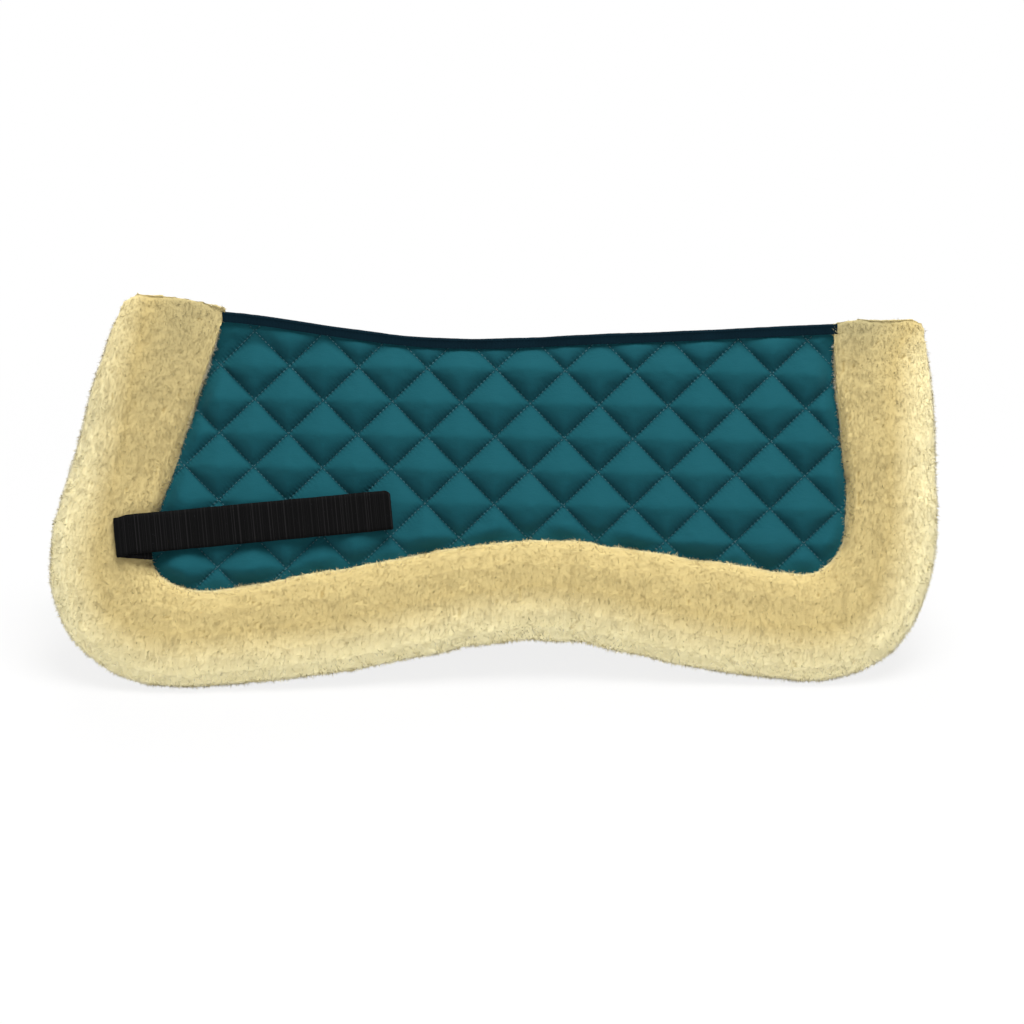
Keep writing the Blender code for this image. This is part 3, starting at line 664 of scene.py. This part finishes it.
def quiltMesh():  # the unpuffed cover, its faces in line with the diamonds
    cuts = quilt["cuts"]
    reach = quilt["reach"] * cuts
    i, j = np.meshgrid(np.arange(-reach, reach + 1), np.arange(-reach, reach + 1), indexing="ij")
    x, drop = fromLattice((i + j) / 2 / cuts, (i - j) / 2 / cuts)
    margin = 0.01  # what lies further out is left out at once
    near = (x > seam[:, 0].min() - margin) & (x < seam[:, 0].max() + margin)
    near &= (drop > quilt["top"]) & (drop < seam[:, 1].max() + margin)
    keep = np.zeros(x.shape, bool)
    px, pd = x[near], drop[near]
    inside = inWindow(px, pd) | (outlineDistance(np.c_[px, pd], seam) < quilt["tuck"])
    rise = np.interp(px, spineX, spineRise)
    keep[near] = inside & (pd > -rise / math.tan(lean) - quilt["overSpine"])
    faces = keep[:-1, :-1] & keep[1:, :-1] & keep[1:, 1:] & keep[:-1, 1:]
    index = np.arange(x.size).reshape(x.shape)
    quads = np.stack([index[:-1, :-1], index[1:, :-1], index[1:, 1:], index[:-1, 1:]], -1)[faces]
    used, quads = np.unique(quads, return_inverse=True)
    quads = quads.reshape(-1, 4)
    x, drop, i, j = x.ravel()[used], drop.ravel()[used], i.ravel()[used], j.ravel()[used]
    height, below = quiltBase(x, drop, quilt["crown"])
    sewn = (i % cuts == 0) | (j % cuts == 0)
    sewn |= ~inWindow(x, drop) | (outlineDistance(np.c_[x, drop], seam) < quilt["sewnIn"])
    sewn |= below < quilt["sewnBelow"]
    return np.c_[x, -drop, height], quads, sewn


def puffUp(points, quads, sewn):  # filled out by the cloth simulation, held along the sewing
    cover = bpy.data.objects.new("cover_blank", meshOf("cover_blank", points, quads))
    bpy.context.scene.collection.objects.link(cover)
    held = cover.vertex_groups.new(name="sewn")
    held.add(np.flatnonzero(sewn).tolist(), 1, "REPLACE")
    cloth = cover.modifiers.new("cloth", "CLOTH")
    fabric = cloth.settings
    fabric.quality = 6
    fabric.mass = 0.0005
    fabric.tension_stiffness = fabric.compression_stiffness = 5
    fabric.shear_stiffness = 1
    fabric.bending_stiffness = 0.001
    fabric.tension_damping = fabric.compression_damping = 5
    fabric.air_damping = 2
    fabric.vertex_group_mass = "sewn"
    fabric.pin_stiffness = 1
    fabric.shrink_min = -quilt["spare"]
    fabric.use_pressure = True
    fabric.uniform_pressure_force = quilt["pressure"]
    fabric.effector_weights.gravity = 0
    cloth.collision_settings.use_collision = False
    cloth.point_cache.frame_start = 1
    cloth.point_cache.frame_end = quilt["frames"]
    for step in range(1, quilt["frames"] + 1):
        bpy.context.scene.frame_set(step)
    made = coords(applied(cover)).copy()
    bpy.context.scene.frame_set(1)
    bpy.data.objects.remove(cover)
    return made


def coverMesh(points, quads, sewn):  # finer, pressed down by the strap, and cut at the spine
    cover = bpy.data.objects.new("cover", meshOf("cover", points, quads))
    edges = np.array([e.vertices[:] for e in cover.data.edges])
    creased = cover.data.attributes.new("crease_edge", "FLOAT", "EDGE")
    creased.data.foreach_set("value", np.where(sewn[edges].all(1), 0.9, 0.0).astype(np.float32))
    bpy.context.scene.collection.objects.link(cover)
    finer = cover.modifiers.new("finer", "SUBSURF")
    finer.levels = finer.render_levels = 1
    mesh = applied(cover)
    bpy.data.objects.remove(cover)
    x, up, n = coords(mesh).T
    along, across = alongStrap(x, -up)
    past, aside = along - strap["length"] - 0.002, abs(across) - strap["width"] / 2
    beyond = np.hypot(np.maximum(past, 0), np.maximum(aside, 0))
    pressed = quilt["pressed"] * (1 - ease(beyond / quilt["pressedReach"]))
    n = quilt["channel"] + (n - quilt["channel"]) * (1 - pressed)
    for most in (quilt["hold"] + 0.6 * beyond, quilt["tallest"]):
        n = (n + most - np.hypot(n - most, quilt["softly"])) / 2
    beneath = np.clip((np.interp(x, spineX, spineRise) / math.tan(lean) - up) / 0.006, 0, 1)
    n = np.maximum(n, up * math.tan(lean) + 0.0012 * beneath)  # on its own side of the spine
    for name, counted in zip(("first", "second"), latticeOf(x, -up)):
        setAttribute(mesh, name, counted)
    setCoords(mesh, toWorld("near", x, -up, n))
    bm = bmesh.new()
    bm.from_mesh(mesh)
    plane = {"plane_co": (0, -gap, 0), "plane_no": (0, 1, 0)}
    bmesh.ops.bisect_plane(bm, geom=bm.verts[:] + bm.edges[:] + bm.faces[:], clear_outer=True, **plane)
    bm.to_mesh(mesh)
    bm.free()
    return mesh


def mirrored(mesh):
    other = mesh.copy()
    other.transform(Matrix.Diagonal((1, -1, 1, 1)))
    other.flip_normals()
    return other


thread = {
    "length": 0.0019, "step": 0.0027, "radius": 0.00024,
    "widths": (0.45, 1, 1, 0.45), "lifts": (-1.1, 0.4, 0.4, -1.1),  # in radii, dipping in at both ends
}


def sewnLines():  # each run of sewing on the near side, as panel points close together
    runs = []
    reach = quilt["reach"]
    free = np.arange(-reach, reach, 0.01)
    for family in (0, 1):
        for line in range(-reach, reach + 1):
            held = np.full_like(free, line)
            u, v = (held, free) if family == 0 else (free, held)
            x, drop = fromLattice((u + v) / 2, (u - v) / 2)
            height, below = quiltBase(x, drop, quilt["channel"])
            inside = inWindow(x, drop) & (below > 0.001)
            if inside.sum() > 3:
                runs.append(np.c_[x, drop, height][inside])
    return runs


def stitchMesh(runs, side):  # a short thread for each stitch along the runs
    points = []
    faces = []
    ring = [(math.cos(t), math.sin(t)) for t in np.arange(5) * math.tau / 5]
    for run in runs:
        spots = toWorld(side, *run.T)
        gone = np.r_[0, np.cumsum(np.linalg.norm(np.diff(spots, axis=0), axis=1))]
        for start in np.arange(thread["step"] / 2, gone[-1] - thread["length"], thread["step"]):
            stops = start + thread["length"] * np.array([0, 0.25, 0.75, 1])
            line = np.array([[np.interp(s, gone, spots[:, k]) for k in range(3)] for s in stops])
            outward = np.array([0, sides[side] * math.cos(lean), math.sin(lean)])
            ahead = line[-1] - line[0]
            ahead /= np.linalg.norm(ahead)
            beside = np.cross(ahead, outward)
            above = np.cross(beside, ahead)
            base = len(points)
            for place, wide, lift in zip(line, thread["widths"], thread["lifts"]):
                middle = place + above * lift * thread["radius"]
                points += [middle + thread["radius"] * wide * (a * beside + b * above) for a, b in ring]
            faces += skin(base, len(line), len(ring))
    return meshOf("stitches", points, faces)


cotton = Finish("teal_cotton", Roughness=0.85, Specular_IOR_Level=0.08)
cotton.finish(Sheen_Weight=0.15, Sheen_Roughness=0.35)
first, second = cotton.attribute("first"), cotton.attribute("second")


def pucker(cross, along):  # gathers beside a sewn line: they die out away from it
    fromLine = cotton.maths("PINGPONG", cross, 0.5)
    nearLine = cotton.maths("EXPONENT", fromLine * -24.0)
    drift = cotton.noise(160, 2)
    gather = cotton.maths("SINE", along * (math.tau * 12.5) + drift * 5.0)
    # the second value masks painted shade close along the sewn line
    return (gather * 0.5 + 0.5) * nearLine, cotton.maths("EXPONENT", fromLine * -42.0)


gatherA, grooveA = pucker(first, second)
gatherB, grooveB = pucker(second, first)
gathers, grooveShade = gatherA + gatherB * 0.35, cotton.maths("MAXIMUM", grooveA, grooveB)
worn = cotton.noise(26, 3)
cloudy = cotton.mix(worn * 0.5, (0.0055, 0.069, 0.087), (0.0105, 0.086, 0.106))
# painted shade: the cotton darkens close along the sewn lines
creased = cotton.mix(grooveShade * 0.55, cloudy, (0.0015, 0.024, 0.034))
# painted shade on each diamond's lower facet, from its level crease to its lower sewn line
upper, lower = (cotton.maths("FRACT", counted) for counted in (first, second))
share = cotton.maths("DIVIDE", upper - lower, 1.02 - cotton.maths("ABSOLUTE", upper + lower - 1.0))
lowerFacetShade = cotton.ramp(share, (0.08, (0, 0, 0)), (0.45, (0.6,) * 3), (0.78, (1, 1, 1)), (0.97, (0.2,) * 3))
cottonWithShade = cotton.mix(lowerFacetShade * 0.34, creased, (0.0008, 0.018, 0.028))  # painted shade on each diamond's lower facet, darkest just above its lower sewn line
weave = cotton.noise(1500, 2, 0.6)
wrinkle = cotton.noise(170, 3, 0.55, cotton.place((1, 2.2, 2.2)))
soft = cotton.bump(weave, 0.0002, 0.3, cotton.bump(wrinkle, 0.0008, 0.3))
cotton.finish(Base_Color=cottonWithShade, Normal=cotton.bump(gathers, 0.0006, 0.8, soft))

yarn = Finish("teal_thread", Roughness=0.6, Sheen_Weight=0.2)
yarn.finish(Base_Color=yarn.mix(yarn.noise(220, 2), (0.010, 0.062, 0.078), (0.030, 0.125, 0.15)))

blankPoints, blankQuads, blankSewn = quiltMesh()
blankPoints = puffUp(blankPoints, blankQuads, blankSewn)
print("cover sewn and puffed", len(blankQuads))
nearCover = coverMesh(blankPoints, blankQuads, blankSewn)
runs = sewnLines()
for side, mesh in (("near", nearCover), ("off", mirrored(nearCover))):
    mesh.shade_smooth()
    mesh.set_sharp_from_angle(angle=math.radians(48))
    cover = newPiece(side + "_quilted_cover", mesh, cotton.material)
    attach(cover, side + "_side")
    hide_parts(side + "_quilted_shell")
    sewing = newPiece(side + "_diamond_stitches", stitchMesh(runs, side), yarn.material)
    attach(sewing, side + "_side")
print("covers in place")

# Binding: grosgrain tape folded over the spine seam
binding = {
    "front": -0.1683, "rear": 0.2181,
    "height": 0.0038, "leg": 0.0020,  # how far it stands over the seam and goes down beside it
    "half": 0.0016, "flare": 0.0011, "inner": 0.0011,  # across: the fold, and its legs outside and inside
    "wave": 0.00022, "ripple": 0.0001,
    "steps": 260, "rib": 0.00008,
}


def bindingMesh():
    xs = np.linspace(binding["front"], binding["rear"], binding["steps"])
    rows = []
    for count, x in enumerate(xs):
        line = apex + np.interp(x, spineX, spineRise) / math.sin(lean)
        wave = binding["wave"] * noise.noise((x * 45, 0, 0))
        wave += binding["ripple"] * noise.noise((x * 210, 4, 0))
        half = binding["half"]
        foot = line - binding["leg"]
        top = line + binding["height"] + wave * 1.5
        turns = np.linspace(0, math.pi, 7)
        crown = [(half * math.cos(t), top - half * 0.8 + half * 0.8 * math.sin(t)) for t in turns]
        right = [(half + binding["flare"] + wave, foot), (half + 0.0005 + wave, line + 0.0002),
                 (half, line + 0.0016), (half - 0.00015, line + 0.0032)]
        left = [(-y, z) for y, z in reversed(right)]
        rib = 1 + binding["rib"] / half * (1 if count % 2 else -1)
        within = binding["inner"] + binding["flare"]
        inner = [(-within, foot), (0, line + 0.0012), (within, foot)]
        section = [(y * rib, z) for y, z in right + crown + left] + inner
        rows.append([(x, y, z) for y, z in section])
    mesh = lofted("binding", rows)
    mesh.set_sharp_from_angle(angle=math.radians(60))
    return mesh


tape = Finish("dark_teal_tape", Roughness=0.85, Specular_IOR_Level=0.06)
ribSockets = {"Vector": tape.place(), "Scale": 160.0, "Distortion": 0.6}
ribs = tape.node("ShaderNodeTexWave", {"bands_direction": "X"}, ribSockets)
tapeShade = tape.mix(tape.noise(60, 2), (0.0007, 0.0065, 0.0115), (0.0014, 0.0115, 0.019))
slubs = tape.bump(tape.noise(400, 2), 0.0002, 0.4)
tape.finish(Base_Color=tapeShade, Normal=tape.bump(ribs, 0.00015, 0.6, slubs))
bindingPiece = newPiece("spine_tape", bindingMesh(), tape.material)
bendAtSpine(bindingPiece)
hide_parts("spine_binding")
print("binding folded over the spine")

# Elastic strap: sewn into the seam under its fold, doubled back over itself and hemmed at its end
elastic = {
    "step": 0.00041, "ribLength": 0.0016, "rib": 0.00012,
    "corners": (0.0042, 0.0014), "wander": 0.00035,  # radii at the end, and how straight its edges are
    "fuzz": 0.00006, "hemSlope": 0.0012, "blur": 6,  # blur: steps each way that the strap smooths over
    "baseEnd": 0.0200, "baseTurn": math.radians(10),  # the short end leans down from the fold
    "noseShift": 0.0013, "noseReach": 0.0080,  # the fold sits a little low
}
strapX, strapUp = math.cos(strap["rise"]), math.sin(strap["rise"])
foldPlace = {joint["name"]: joint["pos_m"] for joint in frame["joints"]}["near_strap_lift"]
foldHeight = float(panelSizes([foldPlace])[2][0])


def strapPlace(side, s, w, h):  # lengths along and across the strap and above its fold, to the row frame
    x = strap["foldX"] + s * strapX - w * strapUp
    return toWorld(side, x, strap["foldDrop"] - s * strapUp - w * strapX, foldHeight + h)


def profileOf(node):  # a strap solid's stations along the strap, with its underside and top
    x, drop, n = panelSizes([v.co for v in frame["nodes"][node].data.vertices])
    s = np.round(alongStrap(x, drop)[0], 4)
    stations = np.unique(s)
    low = np.array([n[s == at].min() for at in stations]) - foldHeight
    high = np.array([n[s == at].max() for at in stations]) - foldHeight
    return stations, low, high


def band(side, s, h, thick, upper, lower):  # woven elastic along a route between its edges, ribbed across
    slope = np.arctan2(np.gradient(h), np.gradient(s))
    gone = np.r_[0, np.cumsum(np.hypot(np.diff(s), np.diff(h)))]
    rib = elastic["rib"] * np.sin(math.tau * gone / elastic["ribLength"]) ** 3
    across = np.array([-1, -0.97, -0.8, -0.55, -0.25, 0, 0.25, 0.55, 0.8, 0.97, 1])
    full = np.array([0, 0.75, 1, 1, 1, 1, 1, 1, 1, 0.75, 0])  # how thick it is there
    section = list(zip(across, full)) + list(zip(across[-2:0:-1], -full[-2:0:-1]))
    rows = []
    for k in range(len(s)):
        wander = elastic["wander"] * noise.noise((gone[k] * 40, 3.3, 0))
        swell = elastic["wander"] * noise.noise((gone[k] * 90, 9.1, 0))
        row = []
        for w, e in section:
            out = e * (thick[k] / 2 + rib[k] + elastic["fuzz"] * noise.noise((gone[k] * 300, w * 9, 5)))
            along, up = s[k] - math.sin(slope[k]) * out, h[k] + math.cos(slope[k]) * out
            reach = lower[k] + (w + 1) / 2 * (upper[k] - lower[k]) + wander * 0.5 + w * swell * 0.4
            row.append(strapPlace(side, along, reach, up))
        rows.append(row)
    mesh = lofted("band", rows)
    setAttribute(mesh, "along", np.repeat(gone, len(section)))
    mesh.set_sharp_from_angle(angle=math.radians(70))
    return mesh


def tailBand(side):  # from the fold along the quilt to the hem, which is thicker
    stations, _, high = profileOf("near_strap_tail")
    flat = stations > strap["thick"]
    radius = strap["thick"] / 2 + gap / 2
    stops = np.arange(strap["thick"], strap["length"] - 0.0002, elastic["step"])
    top = np.interp(stops, stations[flat], high[flat])
    hemStart = strap["length"] - strap["hem"]
    hem = ease((stops - hemStart + elastic["hemSlope"] / 2) / elastic["hemSlope"])
    lie = top - strap["thick"] / 2 - hem * (strap["hemThick"] - strap["thick"]) / 2 + 0.0001 * hem
    blur = elastic["blur"]
    even = np.ones(2 * blur + 1) / (2 * blur + 1)
    lie = np.convolve(np.r_[[lie[0]] * blur, lie, [lie[-1]] * blur], even, "valid")
    turn = np.linspace(math.pi * 1.5, math.pi / 2, 26)
    s = np.r_[0.0004, radius * np.cos(turn), 0.0008, stops]
    h = np.r_[-radius, radius * np.sin(turn), radius, lie]
    thick = np.full(len(s), strap["thick"])
    thick[-len(stops):] += hem * (strap["hemThick"] - strap["thick"])
    shift = -elastic["noseShift"] * (1 - ease(s / elastic["noseReach"]))
    cut = []
    for corner in elastic["corners"]:
        beyond = np.clip((s - strap["length"] + corner) / corner, 0, 1)
        cut.append(corner * (1 - np.sqrt(1 - beyond ** 2)))
    half = strap["width"] / 2
    return band(side, s, h, thick, half - cut[0] + shift, -half + cut[1] + shift)


def baseBand(side):  # the short end, going down into the seam
    stations, low, high = profileOf("near_strap_base")
    stops = np.arange(0.0006, elastic["baseEnd"], elastic["step"])
    lie = (np.interp(stops, stations, low) + np.interp(stops, stations, high)) / 2
    lie -= 0.0010 * ease((stops - 0.014) / 0.006)
    shift = -elastic["noseShift"] - math.tan(elastic["baseTurn"]) * stops
    half = strap["width"] / 2
    return band(side, stops, lie, np.full(len(stops), strap["thick"]), half + shift, -half + shift)


black = Finish("black_elastic", Roughness=0.8, Specular_IOR_Level=0.06)
weftSockets = {"W": black.attribute("along"), "Scale": 900.0}
weft = black.node("ShaderNodeTexNoise", {"noise_dimensions": "1D"}, weftSockets)
threads = black.ramp(weft, (0.5, (0.0016, 0.0016, 0.0017)), (0.72, (0.0100, 0.0096, 0.0100)))
lint = black.noise(1300, 1)
fleck = black.ramp(lint, (0.76, (0, 0, 0)), (0.80, (1, 1, 1)))
woven = black.mix(fleck, threads, (0.026, 0.026, 0.030))
strands = black.bump(black.noise(2400, 2), 0.0001, 0.5)
black.finish(Base_Color=woven, Normal=black.bump(weft, 0.0003, 0.6, strands))
hooks = Finish("black_hooks", Base_Color=(0.012, 0.012, 0.012), Roughness=0.55)
hooks.finish(Normal=hooks.bump(hooks.noise(1800, 1), 0.0004, 1))
loops = Finish("black_loops", Base_Color=(0.018, 0.018, 0.018), Roughness=0.95, Sheen_Weight=0.3)
loops.finish(Normal=loops.bump(loops.noise(1200, 3), 0.0005, 1))

for side in sides:
    tail = newPiece(side + "_strap_long_end", tailBand(side), black.material)
    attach(tail, side + "_strap")
    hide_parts(side + "_strap_tail")
    base = newPiece(side + "_strap_short_end", baseBand(side), black.material)
    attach(base, side + "_side")
    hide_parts(side + "_strap_base")
    for node, finish in (("hook", hooks), ("loop", loops)):
        patch = frame["nodes"][f"{side}_strap_{node}_patch"]
        patch.data.materials.clear()
        patch.data.materials.append(finish.material)
print("straps in place")

# Foam inside the pad, which shows only where the sides are opened far
foamSizes = {"start": 0.010}  # it starts this far from the spine
foam = Finish("grey_foam", Base_Color=(0.25, 0.25, 0.26), Roughness=0.9)
foam.finish(Normal=foam.bump(foam.noise(700, 2), 0.0004, 0.5))
for side, toward in sides.items():
    bm = bmesh.new()
    bm.from_mesh(frame["nodes"][side + "_foam_core"].data)
    bmesh.ops.remove_doubles(bm, verts=bm.verts, dist=1e-6)
    plane = {"plane_co": (0, toward * foamSizes["start"], 0), "plane_no": (0, -toward, 0)}
    cut = bmesh.ops.bisect_plane(bm, geom=bm.verts[:] + bm.edges[:] + bm.faces[:], clear_outer=True, **plane)
    rim = [e for e in cut["geom_cut"] if isinstance(e, bmesh.types.BMEdge)]
    bmesh.ops.holes_fill(bm, edges=rim)
    mesh = bpy.data.meshes.new("foam")
    bm.to_mesh(mesh)
    bm.free()
    core = newPiece(side + "_foam_insert", mesh, foam.material)
    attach(core, side + "_side")
    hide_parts(side + "_foam_core")
print("foam in place")

# Stage, light and camera
stage = {
    "elevation": 22, "distance": 1.6, "lens": 89, "roll": -0.56,
    "aim": (0.0122, 0.0997, 0.0),  # x, drop and n of the picture's middle on the near side
    "ambient": 0.18, "floor": 0.62,
    "glow": (0.84, 1.0), "reach": (0.32, 0.75),  # seen white, with a soft shadow near the pad
}


def lamp(name, place, size, energy, aim=(0, 0, 0.1), spread=180):
    light = bpy.data.lights.new(name, "AREA")
    light.shape = "RECTANGLE"
    light.size, light.size_y = size
    light.energy = energy
    light.spread = math.radians(spread)
    made = bpy.data.objects.new(name, light)
    made.location = place
    made.rotation_euler = (Vector(aim) - Vector(place)).to_track_quat("-Z", "Y").to_euler()
    bpy.context.scene.collection.objects.link(made)


lamp("key_light", (0.32, -0.50, 2.05), (1.1, 1.1), 63)
lamp("front_light", (-0.5, -2.2, 0.8), (1.8, 1.2), 3)
lamp("side_light", (-1.8, -0.40, 0.35), (0.8, 0.6), 6)
lamp("low_light", (0.0, -0.75, 0.10), (1.3, 0.1), 0.145, (0, -0.09, -0.05), 26)
lamp("rear_light", (1.8, -0.50, 0.35), (0.8, 0.6), 3)
lamp("back_light", (-0.3, 1.5, 1.8), (1.4, 1.2), 22)

pale = Finish("pale_floor", Base_Color=(stage["floor"],) * 3, Roughness=0.9, Specular_IOR_Level=0.1)
apart = pale.node("ShaderNodeVectorMath", {"operation": "LENGTH"}, {0: pale.place()}, out="Value")
ends = dict(zip(("From_Min", "From_Max", "To_Min", "To_Max"), stage["reach"] + stage["glow"]))
smoothly = {"interpolation_type": "SMOOTHSTEP"}
seen = pale.seenRays() * pale.node("ShaderNodeMapRange", smoothly, {"Value": apart, **ends})
glow = pale.node("ShaderNodeEmission", {}, {"Color": (1, 1, 1), "Strength": 1.0})
mixed = pale.node("ShaderNodeMixShader", {}, {0: seen, 1: Value(pale, pale.shader.outputs[0]), 2: glow})
pale.tree.links.new(mixed.socket, pale.tree.nodes["Material Output"].inputs["Surface"])
corners = [(-9, -9, 0), (9, -9, 0), (9, 9, 0), (-9, 9, 0)]
floor = bpy.data.objects.new("floor", meshOf("floor", corners, [(0, 1, 2, 3)]))
floor.data.materials.append(pale.material)
bpy.context.scene.collection.objects.link(floor)

world = bpy.data.worlds.new("studio")
bpy.context.scene.world = world
world.use_nodes = True
sky = Nodes(world.node_tree)
whiter = sky.seenRays() * (1 - stage["ambient"]) + stage["ambient"]  # white as a backdrop, dim as a light
sky.feed(sky.tree.nodes["Background"], {"Color": (1, 1, 1), "Strength": whiter})

aim = Vector(toWorld("near", *stage["aim"]))
pitch = Matrix.Rotation(math.radians(90 - stage["elevation"]), 4, "X")
turn = pitch @ Matrix.Rotation(math.radians(stage["roll"]), 4, "Z")
lens = bpy.data.cameras.new("camera")
lens.lens = stage["lens"]
lens.clip_start = 0.05
camera = bpy.data.objects.new("camera", lens)
camera.matrix_world = Matrix.Translation(aim) @ turn @ Matrix.Translation((0, 0, stage["distance"]))
bpy.context.scene.collection.objects.link(camera)
bpy.context.scene.camera = camera
bpy.context.scene.view_settings.view_transform = "Standard"
print("stage set")
